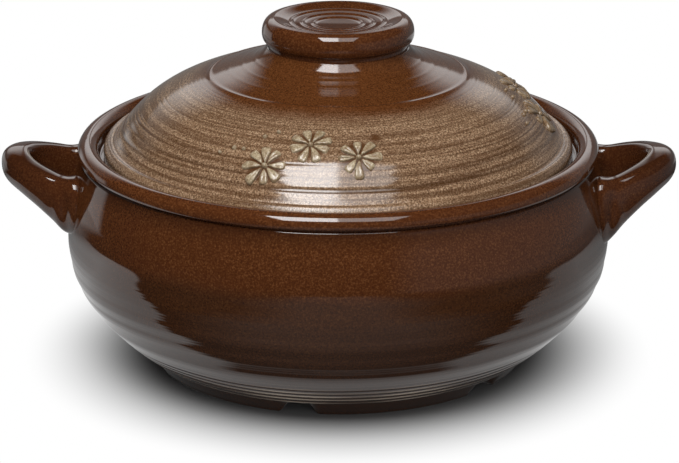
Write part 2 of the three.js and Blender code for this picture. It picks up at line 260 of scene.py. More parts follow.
def makeCombedWash():
    look = combedWashLook
    material, tree = newMaterial("combedAshWash")
    coords = addNode(tree, "TexCoord").outputs["Object"]
    grain = addNode(tree, "TexNoise", {"Scale": 1 / (look["grainSize"] * mm), "Detail": 2.0,
                                       "Roughness": 0.7}, {"Vector": coords})
    tan = addNode(tree, "ValToRGB", {"stops": [(0.32, "#483423"), (0.5, "#7c6048"), (0.69, "#b0967b")]},
                  {"Fac": grain.outputs["Fac"]})
    flat = addNode(tree, "VectorMath", {"operation": "MULTIPLY", 1: (1, 1, 0)}, {0: coords})
    reach = addNode(tree, "VectorMath", {"operation": "LENGTH"}, {0: flat.outputs["Vector"]})
    facing = addNode(tree, "VectorMath", {"operation": "NORMALIZE"}, {0: flat.outputs["Vector"]})
    spread = addNode(tree, "VectorMath", {"operation": "SCALE", "Scale": look["streakTurn"]},
                     {0: facing.outputs["Vector"]})
    turns = addNode(tree, "SeparateXYZ", None, {"Vector": spread.outputs["Vector"]})
    rings = addNode(tree, "Math", {"operation": "MULTIPLY", 1: 1 / (look["streakWidth"] * mm)},
                    {0: reach.outputs["Value"]})
    streakPlace = addNode(tree, "CombineXYZ", None, {"X": turns.outputs["X"], "Y": turns.outputs["Y"],
                                                     "Z": rings.outputs["Value"]})
    streaks = addNode(tree, "TexNoise", {"Scale": 1.0, "Detail": 3.0, "Roughness": 0.6},
                      {"Vector": streakPlace.outputs["Vector"]})
    aside = addNode(tree, "Math", {"operation": "ABSOLUTE"}, {0: turns.outputs["X"]})
    denser = addNode(tree, "Math", {"operation": "MULTIPLY_ADD", 1: -0.03}, {0: aside.outputs["Value"],
                                                                           2: streaks.outputs["Fac"]})
    streakMask = addNode(tree, "MapRange", {"From Min": 0.41, "From Max": 0.52, "To Min": 0.85,
                                            "To Max": 0.0}, {"Value": denser.outputs["Value"]})
    lowDome = addNode(tree, "MapRange", {"From Min": look["lowDome"][0] * mm,
                                         "From Max": look["lowDome"][1] * mm,
                                         "To Min": 0.5, "To Max": 0.75}, {"Value": reach.outputs["Value"]})
    streakDepth = addNode(tree, "Math", {"operation": "MULTIPLY"}, {0: streakMask.outputs["Result"],
                                                                    1: lowDome.outputs["Result"]})
    comb = addNode(tree, "Attribute", {"attribute_name": "comb"})
    combMask = addNode(tree, "MapRange", {"From Min": 0.1, "From Max": 1.0, "To Min": 0.0, "To Max": 0.9},
                       {"Value": comb.outputs["Fac"]})
    pool = addNode(tree, "Attribute", {"attribute_name": "pool"})
    coats = (
        ("#492e18", streakDepth.outputs["Value"]),
        ("#3c230f", combMask.outputs["Result"]),
        ("#4a2d18", pool.outputs["Fac"]),  # brown gathers round the flowers
    )
    colour = tan.outputs["Color"]
    for paint, mask in coats:
        coat = addNode(tree, "Mix", {"data_type": "RGBA", 7: tint(paint)}, {0: mask, 6: colour})
        colour = coat.outputs[2]
    drift = addNode(tree, "TexNoise", {"Scale": 1 / (look["driftSize"] * mm), "Detail": 3.0},
                    {"Vector": coords})
    driftReach = addNode(tree, "Math", {"operation": "MULTIPLY_ADD", 1: look["edgeDrift"] * mm,
                                        2: -look["edgeDrift"] / 2 * mm}, {0: drift.outputs["Fac"]})
    edge = addNode(tree, "Math", {"operation": "ADD"}, {0: reach.outputs["Value"],
                                                        1: driftReach.outputs["Value"]})
    neckMask = addNode(tree, "MapRange", {"interpolation_type": "SMOOTHSTEP",
                                          "From Min": look["neckEdge"][0] * mm,
                                          "From Max": look["neckEdge"][1] * mm,
                                          "To Min": 1.0, "To Max": 0.0}, {"Value": edge.outputs["Value"]})
    brown = addNode(tree, "ValToRGB", {"stops": [(0.28, "#3a1e0d"), (0.5, "#4f2c14"), (0.72, "#684022")]},
                    {"Fac": grain.outputs["Fac"]})
    necked = addNode(tree, "Mix", {"data_type": "RGBA"},
                     {0: neckMask.outputs["Result"], 6: colour, 7: brown.outputs["Color"]})
    rough = addNode(tree, "MapRange", {"From Min": 0.0, "From Max": 1.0, "To Min": 0.11, "To Max": 0.1},
                    {"Value": neckMask.outputs["Result"]})
    pitted = addNode(tree, "MapRange", {"interpolation_type": "SMOOTHSTEP",
                                        "From Min": look["pittedEdge"][0] * mm,
                                        "From Max": look["pittedEdge"][1] * mm,
                                        "To Min": 0.12, "To Max": 2.5}, {"Value": reach.outputs["Value"]})
    relief = addNode(tree, "Math", {"operation": "MULTIPLY"}, {0: grain.outputs["Fac"],
                                                               1: pitted.outputs["Result"]})
    bump = addNode(tree, "Bump", {"Strength": 0.4, "Distance": look["grainRelief"] * mm},
                   {"Height": relief.outputs["Value"]})
    shader = addNode(tree, "BsdfPrincipled", {"IOR": 1.55},
                     {"Base Color": necked.outputs[2], "Roughness": rough.outputs["Result"],
                      "Normal": bump.outputs["Normal"]})
    addNode(tree, "OutputMaterial", None, {"Surface": shader.outputs["BSDF"]})
    return material


# cream clay slip on the sprigs: pale on the raised parts, brown low on the petals from pooled glaze and
# painted shade
petalSlipLook = {
    "grainSize": 0.7,  # finer in the slip, drawn this coarse so it shows
    "mottleSize": 3.2,
    "grainRelief": 0.05,
}


def makePetalSlip():
    look = petalSlipLook
    material, tree = newMaterial("creamSlip")
    coords = addNode(tree, "TexCoord").outputs["Object"]
    grain = addNode(tree, "TexNoise", {"Scale": 1 / (look["grainSize"] * mm), "Detail": 2.0},
                    {"Vector": coords})
    cream = addNode(tree, "ValToRGB", {"stops": [(0.3, "#7d6c52"), (0.5, "#9a8a70"), (0.7, "#b5a78d")]},
                    {"Fac": grain.outputs["Fac"]})
    mottle = addNode(tree, "TexNoise", {"Scale": 1 / (look["mottleSize"] * mm), "Detail": 2.0},
                     {"Vector": coords})
    thinMask = addNode(tree, "MapRange", {"From Min": 0.4, "From Max": 0.66, "To Min": 0.0, "To Max": 0.75},
                       {"Value": mottle.outputs["Fac"]})
    raised = addNode(tree, "Attribute", {"attribute_name": "raised"})
    poolAndShadeMask = addNode(tree, "MapRange", {"interpolation_type": "SMOOTHSTEP",
                                         "From Min": 0.25, "From Max": 0.9,
                                         "To Min": 1.0, "To Max": 0.0}, {"Value": raised.outputs["Fac"]})
    cover = addNode(tree, "Attribute", {"attribute_name": "cover"})
    coats = (
        ("#6f563c", thinMask.outputs["Result"]),
        # brown low on the petals: pooled glaze, and painted shade where they meet the dome
        ("#452a16", poolAndShadeMask.outputs["Result"]),
        ("#6e543c", cover.outputs["Fac"]),  # the wash over the flowers of the other groups
    )
    colour = cream.outputs["Color"]
    for paint, mask in coats:
        coat = addNode(tree, "Mix", {"data_type": "RGBA", 7: tint(paint)}, {0: mask, 6: colour})
        colour = coat.outputs[2]
    bump = addNode(tree, "Bump", {"Strength": 0.3, "Distance": look["grainRelief"] * mm},
                   {"Height": grain.outputs["Fac"]})
    shader = addNode(tree, "BsdfPrincipled", {"Roughness": 0.2, "IOR": 1.55},
                     {"Base Color": colour, "Normal": bump.outputs["Normal"]})
    addNode(tree, "OutputMaterial", None, {"Surface": shader.outputs["BSDF"]})
    return material


brownGlaze = makeBrownGlaze()
combedWash = makeCombedWash()
petalSlip = makePetalSlip()
print("glazes mixed")


# bowl: round belly thrown in ridges, a banded rim and a ledge inside for the lid
bowlShape = {
    "bellyHeight": 53,
    "heelRadius": 81.8,
    "heelPull": (23.6, 18.4),  # how far the curve is drawn out and up from the heel
    "bellyPull": (16, 17),  # and below and above the widest place
    "shoulderPull": (105.4, 11.2),
    "shoulderRadius": 104.5,
    "grooveRadius": 103.1,
    "rimRadius": 105.4,
    "rimInside": 97,
    "ledgeDrop": 7.4,
    "wall": 7,
    "floorRadius": 58,
    "floorPull": 87.9,
    "floorThickness": 8,
    "ledgeReach": 6.5,
    "ridgePitch": 9.5,
    "ridgeDepth": 0.15,
    "lineDepth": 0.014,
    "turningPitch": 2.4,
    "turningDepth": 0.2,
    "wobble": (55, 0.5),  # size and depth
    "turns": 256,
}


def bowlOutline():
    shape = bowlShape
    low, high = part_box("bowl")
    base = low.z / mm
    top = high.z / mm
    belly = high.x / mm
    waist = shape["bellyHeight"]
    heel = (shape["heelRadius"], base)
    shoulder = (shape["shoulderRadius"], top - 8)
    outPull, upPull = shape["heelPull"]
    lowPull, highPull = shape["bellyPull"]
    neckPull = (shape["shoulderPull"][0], top - shape["shoulderPull"][1])
    sideLow = bendTo(heel, (heel[0] + outPull, base + upPull), (belly, waist - lowPull), (belly, waist), 200)
    sideHigh = bendTo((belly, waist), (belly, waist + highPull), neckPull, shoulder, 40)
    ridged = []
    for r, z in sideLow + sideHigh:
        fine = math.exp(-((z - base - 5) / 5) ** 2)
        coarse = min(1, max(0, (z - base - 9) / 10)) * min(1, max(0, (70 - z) / 30))
        sway = 1.6 * math.sin(z / 5.3)
        push = shape["turningDepth"] * fine * math.sin(math.tau * z / shape["turningPitch"])
        push += shape["ridgeDepth"] * coarse * math.sin(math.tau * (z + sway) / shape["ridgePitch"])
        wavy = math.sin(math.tau * z / 2.7) + math.sin(z * 1.53 + 1) + 0.6 * math.sin(z * 5.1)
        push += shape["lineDepth"] * coarse * wavy
        ridged.append((r + push, z))
    rim = shape["rimRadius"]
    inner = shape["rimInside"]
    groove = (shape["grooveRadius"], top - 6.4)
    outline = [(0, base), (40, base), (heel[0] - 1.2, base)]
    outline += ridged
    outline += roundTo(ridged[-1], (shoulder[0] - 0.2, top - 6.8), (groove[0] + 0.4, top - 6.6), 8)
    outline += roundTo(outline[-1], groove, (groove[0] + 0.4, groove[1] + 0.5), 4)
    outline += roundTo(outline[-1], (rim, top - 5.9), (rim, top - 4.4), 8)
    outline += bendTo((rim, top - 4.4), (rim, top - 2), (rim - 2, top), (rim - 4.4, top), 16)
    outline += bendTo((rim - 4.4, top), (inner + 1.8, top), (inner, top - 1.8), (inner, top - 4), 10)
    ledge = top - shape["ledgeDrop"]
    outline += [(inner, ledge + 1)]
    outline += roundTo((inner, ledge + 1), (inner, ledge), (inner - 1, ledge), 4)
    lip = inner - shape["ledgeReach"]
    outline += [(lip + 1, ledge)]
    outline += roundTo((lip + 1, ledge), (lip, ledge), (lip, ledge - 1), 4)
    outline += [(lip, ledge - 4.5)]
    inside = belly - shape["wall"]
    floor = base + shape["floorThickness"]
    side = (inside, waist)
    flat = (shape["floorRadius"], floor)
    outline += bendTo((lip, ledge - 4.5), (lip + 6.5, ledge - 11), (inside, waist + highPull), side, 16)
    outline += bendTo(side, (inside, waist - lowPull), (shape["floorPull"], floor), flat, 20)
    outline += [(40, floor), (20, floor), (0, floor)]
    return outline


def paintGlints(piece):
    # painted glints on the turning lines above the foot, with painted highlights in two places at the front
    points = readPoints(piece)
    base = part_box("bowl")[0].z / mm
    rise = points[:, 2] - base
    angle = np.arctan2(points[:, 1], points[:, 0])
    lines = np.clip(np.sin(math.tau * points[:, 2] / bowlShape["turningPitch"]), 0, 1) ** 1.2
    lines *= np.exp(-((rise - 4.5) / 4.5) ** 2)
    lampGlints = np.exp(-((angle + 1.78) / 0.16) ** 2) + np.exp(-((angle + 1.22) / 0.14) ** 2)
    unevenGlint = 0.55 + 0.45 * np.sin(angle * 9 + rise * 2.3) * np.sin(angle * 5 - rise)
    outside = np.hypot(points[:, 0], points[:, 1]) > bowlShape["heelRadius"] - 0.6
    writeAttribute(piece, "thin", np.where(outside, np.clip(lines * (unevenGlint * 0.8 + 1.5 * lampGlints), 0, 1), 0))


bowl = throwOnWheel("bowl_thrown", bowlOutline(), bowlShape["turns"])
paintGlints(bowl)
wobble(bowl, *bowlShape["wobble"])
finishPiece(bowl, "pot", "brown_glaze", [brownGlaze], "bowl")
print("bowl thrown:", len(bowl.data.polygons), "faces")


# foot ring: luted under the bowl, six scallops cut in its lower edge
footShape = {
    "inside": 65.3,
    "outside": 76.3,
    "flare": 5.1,
    "height": 7.4,
    "edge": 1.2,
    "notches": 6,
    "firstNotch": -11.7,
    "notchWidth": 16.5,
    "notchCrown": 7,
    "notchHeight": 4.8,
    "turns": 480,
}


def footOutline():
    shape = footShape
    inside, outside, edge, height = (shape[k] for k in ("inside", "outside", "edge", "height"))
    outline = [(inside, height), (inside, height / 2), (inside, edge)]
    outline += roundTo(outline[-1], (inside, 0), (inside + edge, 0), 4)
    outline += [(outside - 6, 0), (outside - 3, 0), (outside - edge, 0)]
    outline += roundTo(outline[-1], (outside, 0), (outside + 0.2, edge), 5)
    outline += roundTo(outline[-1], (outside + 2.2, height * 0.5), (outside + shape["flare"], height), 12)
    outline += [(outside - 3, height), (inside, height)]
    return outline


def cutScallops(piece):
    shape = footShape
    points = readPoints(piece)
    fromFront = np.degrees(np.arctan2(points[:, 1], points[:, 0])) + 90 - shape["firstNotch"]
    pitch = 360 / shape["notches"]
    away = np.abs((fromFront + pitch / 2) % pitch - pitch / 2)
    across = np.radians(away) * shape["outside"]
    slope = (shape["notchWidth"] / 2 - across) / (shape["notchWidth"] - shape["notchCrown"]) * 2
    lift = np.clip(slope, 0, 1)
    lift = lift * lift * (3 - 2 * lift) * shape["notchHeight"]
    points[:, 2] = lift + points[:, 2] * (1 - lift / shape["height"])
    writePoints(piece, points)


foot = throwOnWheel("foot_ring_cut", footOutline(), footShape["turns"])
cutScallops(foot)
finishPiece(foot, "pot", "brown_glaze", [brownGlaze], "foot_ring")
print("foot ring cut")


# handles: pulled loops of clay, thick at the tip, pressed on to the wall where they spread out
handleShape = {
    "rootReach": 97,
    "halfSpread": 24,
    "tipThickness": 12,
    "limbThickness": 8.5,
    "tipTop": 86.2,
    "tipBottom": 72.8,
    "topDrop": 10.2,
    "taper": 1.45,
    "sweep": 82,
    "flare": 2.6,
    "wallRadius": 108,
    "smearReach": 7,  # the clay spreads out this close to the wall
    "thumbRidge": (0.9, 4.6, 1.5),  # height, distance from the wall, width
    "thumbGroove": (1.2, 1.8, 1.2),
    # strength of the painted highlight on the handles' inner top edge
    "edgeGlint": 0.9,
    "glazeThick": 0.28,
    "wobble": (16, 0.5),
    # pulled by hand, so the two differ
    "left": {"turn": math.pi, "reach": 33.6, "bottomDrop": 28.6, "rootEnd": 57},
    "right": {"turn": 0, "reach": 34.1, "bottomDrop": 32.4, "rootEnd": 52.5},
    "sides": 36,
    "steps": 60,
}


def pullHandle(name, side):
    shape = {**handleShape, **handleShape[side]}
    deselectAll()
    bpy.ops.mesh.primitive_circle_add(vertices=shape["sides"], radius=5 * mm)
    piece = bpy.context.object
    piece.name = name
    piece.data.name = name
    bpy.ops.object.mode_set(mode="EDIT")
    bpy.ops.mesh.select_all(action="SELECT")
    bpy.ops.transform.rotate(value=math.pi / 2, orient_axis="X", center_override=(0, 0, 0))
    bpy.ops.transform.translate(value=(30 * mm, 0, 0))
    sweep = math.radians(shape["sweep"])
    bpy.ops.mesh.spin(steps=shape["steps"], angle=2 * sweep, center=(0, 0, 0), axis=(0, 0, 1))
    bpy.ops.mesh.select_all(action="DESELECT")
    bpy.ops.mesh.select_non_manifold()
    bpy.ops.mesh.fill_holes(sides=0)
    bpy.ops.mesh.select_all(action="SELECT")
    bpy.ops.mesh.normals_make_consistent(inside=False)
    bpy.ops.object.mode_set(mode="OBJECT")
    points = readPoints(piece)
    along = np.arctan2(points[:, 1], points[:, 0])
    along = along - np.sign(np.median(along)) * sweep
    around = np.arctan2(points[:, 2], np.hypot(points[:, 0], points[:, 1]) - 30)
    inward = 1 - np.cos(along)
    top = shape["tipTop"] - shape["topDrop"] * inward
    bottom = shape["tipBottom"] - shape["bottomDrop"] * inward ** shape["taper"]
    thick = shape["tipThickness"] + (shape["limbThickness"] - shape["tipThickness"]) * inward
    middleX = shape["rootReach"] + shape["reach"] * np.cos(along)
    middleY = shape["halfSpread"] * np.sin(along)
    wallGap = np.hypot(middleX, middleY) - shape["wallRadius"]
    spread = np.clip(1 - wallGap / shape["smearReach"], 0, 1) ** 2 * shape["flare"]
    height, away, width = shape["thumbRidge"]
    press = height * np.exp(-((wallGap - away) / width) ** 2)
    height, away, width = shape["thumbGroove"]
    press -= height * np.exp(-((wallGap - away) / width) ** 2)
    thick = thick + 2 * spread
    top = top + spread * 0.8
    bottom = bottom - spread * 0.8
    # cut off blunt below
    bottom = shape["rootEnd"] + np.logaddexp(0, (bottom - shape["rootEnd"]) / 0.9) * 0.9
    outX = np.cos(along) / shape["reach"]
    outY = np.sin(along) / shape["halfSpread"]
    size = np.hypot(outX, outY)
    outX, outY = outX / size, outY / size
    upper = np.where(np.cos(around) > 0, 0.75, 0.5)  # the top leans outwards and is square inside
    corner = np.where(around > 0, upper, 1 - 0.25 * inward)
    soft = np.sign(np.cos(around)) * np.abs(np.cos(around)) ** corner
    upright = np.sign(np.sin(around)) * np.abs(np.sin(around)) ** corner
    press = press * np.clip(soft, 0, 1) * np.clip((0.7 - upright) / 0.5, 0, 1)  # a thumb's groove at the root
    points[:, 0] = middleX + outX * (soft * thick / 2 + press)
    points[:, 1] = middleY + outY * (soft * thick / 2 + press)
    points[:, 2] = (top + bottom) / 2 + upright * (top - bottom) / 2
    cosTurn, sinTurn = math.cos(shape["turn"]), math.sin(shape["turn"])
    turned = points.copy()
    turned[:, 0] = points[:, 0] * cosTurn - points[:, 1] * sinTurn
    turned[:, 1] = points[:, 0] * sinTurn + points[:, 1] * cosTurn
    writePoints(piece, turned)
    # painted highlight along the handle's inner top edge, only on its front part
    front = np.clip(-turned[:, 1] / 10, 0, 1)
    writeAttribute(piece, "thin", shape["edgeGlint"] * front * np.exp(-((around - 2.3) / 0.2) ** 2))
    writeAttribute(piece, "thick", np.full(len(turned), shape["glazeThick"]))
    bpy.ops.object.modifier_add(type="SUBSURF")
    modifier = piece.modifiers[-1]
    modifier.levels = 1
    modifier.render_levels = 1
    bpy.ops.object.modifier_apply(modifier=modifier.name)
    bpy.ops.object.shade_smooth()
    wobble(piece, *shape["wobble"])
    return piece


rightHandle = pullHandle("right_handle_pulled", "right")
finishPiece(rightHandle, "pot", "brown_glaze", [brownGlaze], "right_handle")
leftHandle = pullHandle("left_handle_pulled", "left")
finishPiece(leftHandle, "pot", "brown_glaze", [brownGlaze], "left_handle")
print("handles pulled")


# lid: thrown dome, combed in rings while it turned, with a brown neck under the knob
lidShape = {
    "edgeRadius": 94.8,
    "ridge": (90.6, 6.9),
    "dome": (51, 33.7),
    "domePulls": ((76.6, 27.3), (61.5, 29.8)),
    "stem": (28.8, 44.9),
    "stemPulls": ((41, 37.4), (31.9, 38.5)),
    "top": 44.2,
    "thickness": 9,
    "hollowRadius": 86.8,
    # radius, width and height of the bead and the turning rings
    "rings": ((51.8, 0.9, 0.4), (44, 0.8, 0.05), (38.5, 0.7, 0.07), (33.5, 0.6, 0.1)),
    "turns": 360,
}
combShape = {
    "first": 55,
    "last": 85,
    "pitch": 2.2,
    "width": 0.3,
    "depth": 0.1,
    "edgeGrooves": ((87.2, 0.7, 0.4), (84, 0.6, 0.14)),  # radius, width, depth
    "seed": 7,
}
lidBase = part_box("lid")[0].z / mm


def turned(points):
    # the bead where the neck starts, and fine turning rings above it
    made = []
    for r, z in points:
        for ring, width, height in lidShape["rings"]:
            z += height * math.exp(-((r - ring) / width) ** 2)
        made.append((r, z))
    return made


domeCurve = turned(bendTo(lidShape["ridge"], *lidShape["domePulls"], lidShape["dome"], 150))
neckCurve = turned(bendTo(lidShape["dome"], *lidShape["stemPulls"], lidShape["stem"], 60))
topCurve = np.array([lidShape["ridge"]] + domeCurve + neckCurve)


def domeHeight(radius):
    return lidBase + np.interp(radius, topCurve[::-1, 0], topCurve[::-1, 1])


def domeLean(radius):
    # how much the dome's face leans outwards and upwards there
    slope = (domeHeight(radius + 0.8) - domeHeight(radius - 0.8)) / 1.6
    length = np.sqrt(1 + slope * slope)
    return -slope / length, 1 / length


def lidOutline():
    shape = lidShape
    edge = shape["edgeRadius"]
    ceiling = shape["top"] - shape["thickness"]
    under = bendTo((0, ceiling), (51, ceiling), (86.8, ceiling / 2), (shape["hollowRadius"], 0), 24)
    outline = [(0, ceiling)] + under
    outline += [(edge - 0.9, 0)]
    outline += roundTo((edge - 0.9, 0), (edge, 0), (edge, 0.9), 4)
    outline += [(edge, 2), (edge, 3.4)]
    outline += roundTo((edge, 3.4), (edge, 4.3), (94.5, 4.9), 5)
    outline += bendTo((94.5, 4.9), (94.1, 5.6), (93.8, 6.1), (93.2, 6.6), 8)  # bevelled edge
    outline += roundTo((93.2, 6.6), (92.6, 7.1), (92.1, 6.7), 6)
    outline += roundTo((92.1, 6.7), (91.6, 6.3), shape["ridge"], 6)
    outline += domeCurve + neckCurve
    outline += [(26, shape["top"]), (0, shape["top"])]
    return [(r, z + lidBase) for r, z in outline]


def combLid(piece):
    shape = combShape
    points = readPoints(piece)
    radius = np.hypot(points[:, 0], points[:, 1])
    angle = np.arctan2(points[:, 1], points[:, 0])
    outside = (points[:, 2] > domeHeight(radius) - 0.05) & (radius > 50)
    dice = np.random.default_rng(shape["seed"])
    comb = np.zeros(len(points))
    line = shape["first"]
    while line < shape["last"]:
        low = (line - shape["first"]) / (shape["last"] - shape["first"])
        strength = dice.uniform(0.3, 1.0) * (0.45 + 0.55 * low)
        sway = 0.5 * np.sin(angle + dice.uniform(0, 6)) + 0.3 * np.sin(2 * angle + dice.uniform(0, 6))
        fade = 0.55 + 0.3 * np.sin(2 * angle + dice.uniform(0, 6))
        fade += 0.25 * np.sin(5 * angle + dice.uniform(0, 6))
        width = shape["width"] * dice.uniform(0.7, 1.3)
        bite = strength * np.clip(fade, 0, 1) * np.exp(-((radius - line - sway) / width) ** 2)
        comb = np.maximum(comb, bite)
        line += shape["pitch"] * dice.uniform(0.6, 1.4)
    cut = shape["depth"] * comb
    for line, width, depth in shape["edgeGrooves"]:
        bite = (0.85 + 0.15 * np.sin(3 * angle + line)) * np.exp(-((radius - line) / width) ** 2)
        comb = np.maximum(comb, 0.8 * bite)
        cut = np.maximum(cut, depth * bite)
    comb = np.where(outside, comb, 0)
    lean, rise = domeLean(radius)
    push = np.where(outside, -cut, 0)
    points[:, 0] += np.cos(angle) * lean * push
    points[:, 1] += np.sin(angle) * lean * push
    points[:, 2] += rise * push
    writePoints(piece, points)
    writeAttribute(piece, "comb", comb)


lid = throwOnWheel("lid_combed", lidOutline(), lidShape["turns"])
combLid(lid)
finishPiece(lid, "cover", "combed_wash", [combedWash], "lid")
print("lid combed:", len(lid.data.polygons), "faces")


# knob: thrown disc with a dished top and turning rings in the dish
knobShape = {
    "radius": 30.6,
    "waist": 6,  # height of the widest place
    "crown": 26.4,
    "stem": 28.2,
    "dishDepth": 2.6,
    "dishRadius": 19,
    "rings": (18.2, 13.7, 9.4),
    "ringHeight": 0.4,
    "wobble": (25, 0.25),
    "turns": 192,
}


def knobOutline():
    shape = knobShape
    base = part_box("lid_knob")[0].z / mm
    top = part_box("lid_knob")[1].z / mm
    radius = shape["radius"]
    stem = shape["stem"]
    waist = (radius, base + shape["waist"])
    crown = (shape["crown"], top)
    outline = [(0, base - 0.4), (stem, base - 0.4), (stem, base + 0.2)]
    outline += [(stem - 0.1, base + 1.4)]
    outline += roundTo(outline[-1], (stem - 0.1, base + 2.2), (stem + 0.4, base + 2.3), 4)
    outline += bendTo(outline[-1], (stem + 1.7, base + 2.5), (radius, waist[1] - 1.8), waist, 12)
    outline += bendTo(waist, (radius, waist[1] + 3.4), (crown[0] + 2.6, top), crown, 20)
    dish = shape["dishRadius"]
    sunk = top - shape["dishDepth"]
    slope = [crown]
    slope += bendTo(crown, (crown[0] - 2.4, top), (dish + 2.2, sunk + 0.9), (dish, sunk + 0.8), 14)
    slope += bendTo(slope[-1], (dish - 4, sunk + 0.7), (8, sunk), (0, sunk), 84)
    for r, z in slope[1:]:
        step = sum(1 / (1 + math.exp((ring - r) / 0.35)) for ring in shape["rings"]) - len(shape["rings"])
        swell = sum(math.exp(-((r - ring - 0.5) / 0.6) ** 2) for ring in shape["rings"])
        outline.append((r, z + shape["ringHeight"] * (swell + 0.5 * step + 0.5)))
    return outline


knob = throwOnWheel("lid_knob_thrown", knobOutline(), knobShape["turns"])
wobble(knob, *knobShape["wobble"])
finishPiece(knob, "cover", "brown_glaze", [brownGlaze], "lid_knob")
print("knob thrown")


# daisies: pressed in a mould and luted on the dome, eight petals round a button
daisyShape = {
    "groups": 3,
    "firstGroup": -8.3,
    "groupSpacing": 105.3,
    "patternRadius": 9.3,
    "petals": 8,
    "petalInner": 1.3,
    "petalWidth": 5.1,
    "petalHeight": 1.5,
    "washCover": (0, 0.6, 0.4),  # how far the wash hides the slip in each group
    "buttonRadius": 1.2,
    "unevenLength": (-0.16, 0.04),  # shares by which single petals differ
    "unevenHeight": (-0.4, 0.15),
    "unevenPlace": (-0.07, 0.07),
    "flowers": {  # inset from the lid's edge, turn from the group's middle, radius, own turn
        "low": (13.6, -11.8, 9.3, 8),
        "top": (22.5, 0, 8.6, 20),
        "mid": (17.6, 14.1, 9.0, 2),
    },
    # clay dots: reach, turn from the group's middle, size
    "buds": ((76.6, -22.8, 1.1), (76.4, -19.8, 0.9), (79.1, -26.6, 0.9),
             (70.4, -15.1, 1.0), (67.5, -11.4, 0.9)),
    "brushMark": (69.5, 20, 2.0),  # a dab of brown glaze beside each group
    "seed": 3,
}


def pressDaisy():
    # one flower lying flat, a unit across its radius; copies are bent on to the dome
    shape = daisyShape
    deselectAll()
    bpy.ops.mesh.primitive_uv_sphere_add(segments=20, ring_count=12, radius=mm)
    piece = bpy.context.object
    piece.name = "daisyPattern"
    points = readPoints(piece)
    length = (1 - shape["petalInner"] / shape["patternRadius"]) / 2
    along = points[:, 0]
    grow = (along + 1) / 2
    widen = 0.2 + 0.8 * grow
    blunt = np.where(along > 0, (1.03 - along * along) ** -0.3, 1)  # wedges, broad at the end
    crease = 1 - 0.35 * np.exp(-(points[:, 1] / 0.42) ** 2) * grow  # hollow like a spoon
    points[:, 1] *= widen * blunt * shape["petalWidth"] / shape["patternRadius"] / 2
    points[:, 2] = np.tanh(1.7 * points[:, 2]) * shape["petalHeight"] * crease * (0.6 + 0.4 * grow)
    points[:, 0] = 1 - length + along * length
    writePoints(piece, points)
    bpy.ops.object.mode_set(mode="EDIT")
    bpy.ops.mesh.select_all(action="SELECT")
    count = shape["petals"]
    bpy.ops.mesh.spin(steps=count - 1, dupli=True, angle=math.tau * (count - 1) / count,
                      center=(0, 0, 0), axis=(0, 0, 1))
    bpy.ops.mesh.select_all(action="DESELECT")
    bpy.ops.mesh.primitive_uv_sphere_add(segments=16, ring_count=8, radius=mm)
    small = shape["buttonRadius"] / shape["patternRadius"]
    bpy.ops.transform.resize(value=(small, small, shape["petalHeight"] * 0.95), center_override=(0, 0, 0))
    bpy.ops.mesh.select_all(action="SELECT")
    bpy.ops.mesh.normals_make_consistent(inside=False)
    bpy.ops.object.mode_set(mode="OBJECT")
    bpy.ops.object.shade_smooth()
    return piece


def luteOnDome(pattern, name, reach, fromFront, size, turn, cover, dice):
    # a copy of the pattern, pressed a little unevenly and bent on to the dome at its place
    deselectAll()
    pattern.select_set(True)
    bpy.context.view_layer.objects.active = pattern
    bpy.ops.object.duplicate(linked=False)
    piece = bpy.context.object
    piece.name = name
    piece.data.name = name
    points = readPoints(piece)
    away = np.hypot(points[:, 0], points[:, 1])
    petal = np.rint(np.arctan2(points[:, 1], points[:, 0]) / math.tau * daisyShape["petals"]).astype(int)
    uneven = np.clip(away * 3 - 0.6, 0, 1)
    points[:, :2] *= (1 + uneven * dice.uniform(*daisyShape["unevenLength"], 9)[petal])[:, None]
    points[:, 2] *= 1 + uneven * dice.uniform(*daisyShape["unevenHeight"], 9)[petal]
    points[:, :2] += uneven[:, None] * dice.uniform(*daisyShape["unevenPlace"], (9, 2))[petal]
    spin = math.radians(turn)
    across = (points[:, 0] * math.cos(spin) - points[:, 1] * math.sin(spin)) * size
    upward = (points[:, 0] * math.sin(spin) + points[:, 1] * math.cos(spin)) * size
    height = points[:, 2]
    lean, rise = domeLean(np.array([reach]))
    radius = reach - upward * rise[0]
    angle = math.radians(fromFront - 90) + across / radius
    lean, rise = domeLean(radius)
    out = radius + lean * height
    points[:, 0] = np.cos(angle) * out
    points[:, 1] = np.sin(angle) * out
    points[:, 2] = domeHeight(radius) + rise * height
    writePoints(piece, points)
    writeAttribute(piece, "raised", height / daisyShape["petalHeight"])
    writeAttribute(piece, "cover", np.full(len(points), cover))
    return piece


def markPools(places):
    # brown glaze gathers on the lid round every flower
    points = readPoints(lid)
    pool = np.zeros(len(points))
    for reach, fromFront, size, strength in places:
        angle = math.radians(fromFront - 90)
        height = domeHeight(np.array([reach]))[0]
        centre = np.array([math.cos(angle) * reach, math.sin(angle) * reach, height])
        gap = np.linalg.norm(points - centre, axis=1) - size
        pool = np.maximum(pool, np.clip(0.5 - gap / 1.6, 0, 1) * strength)
    writeAttribute(lid, "pool", pool)


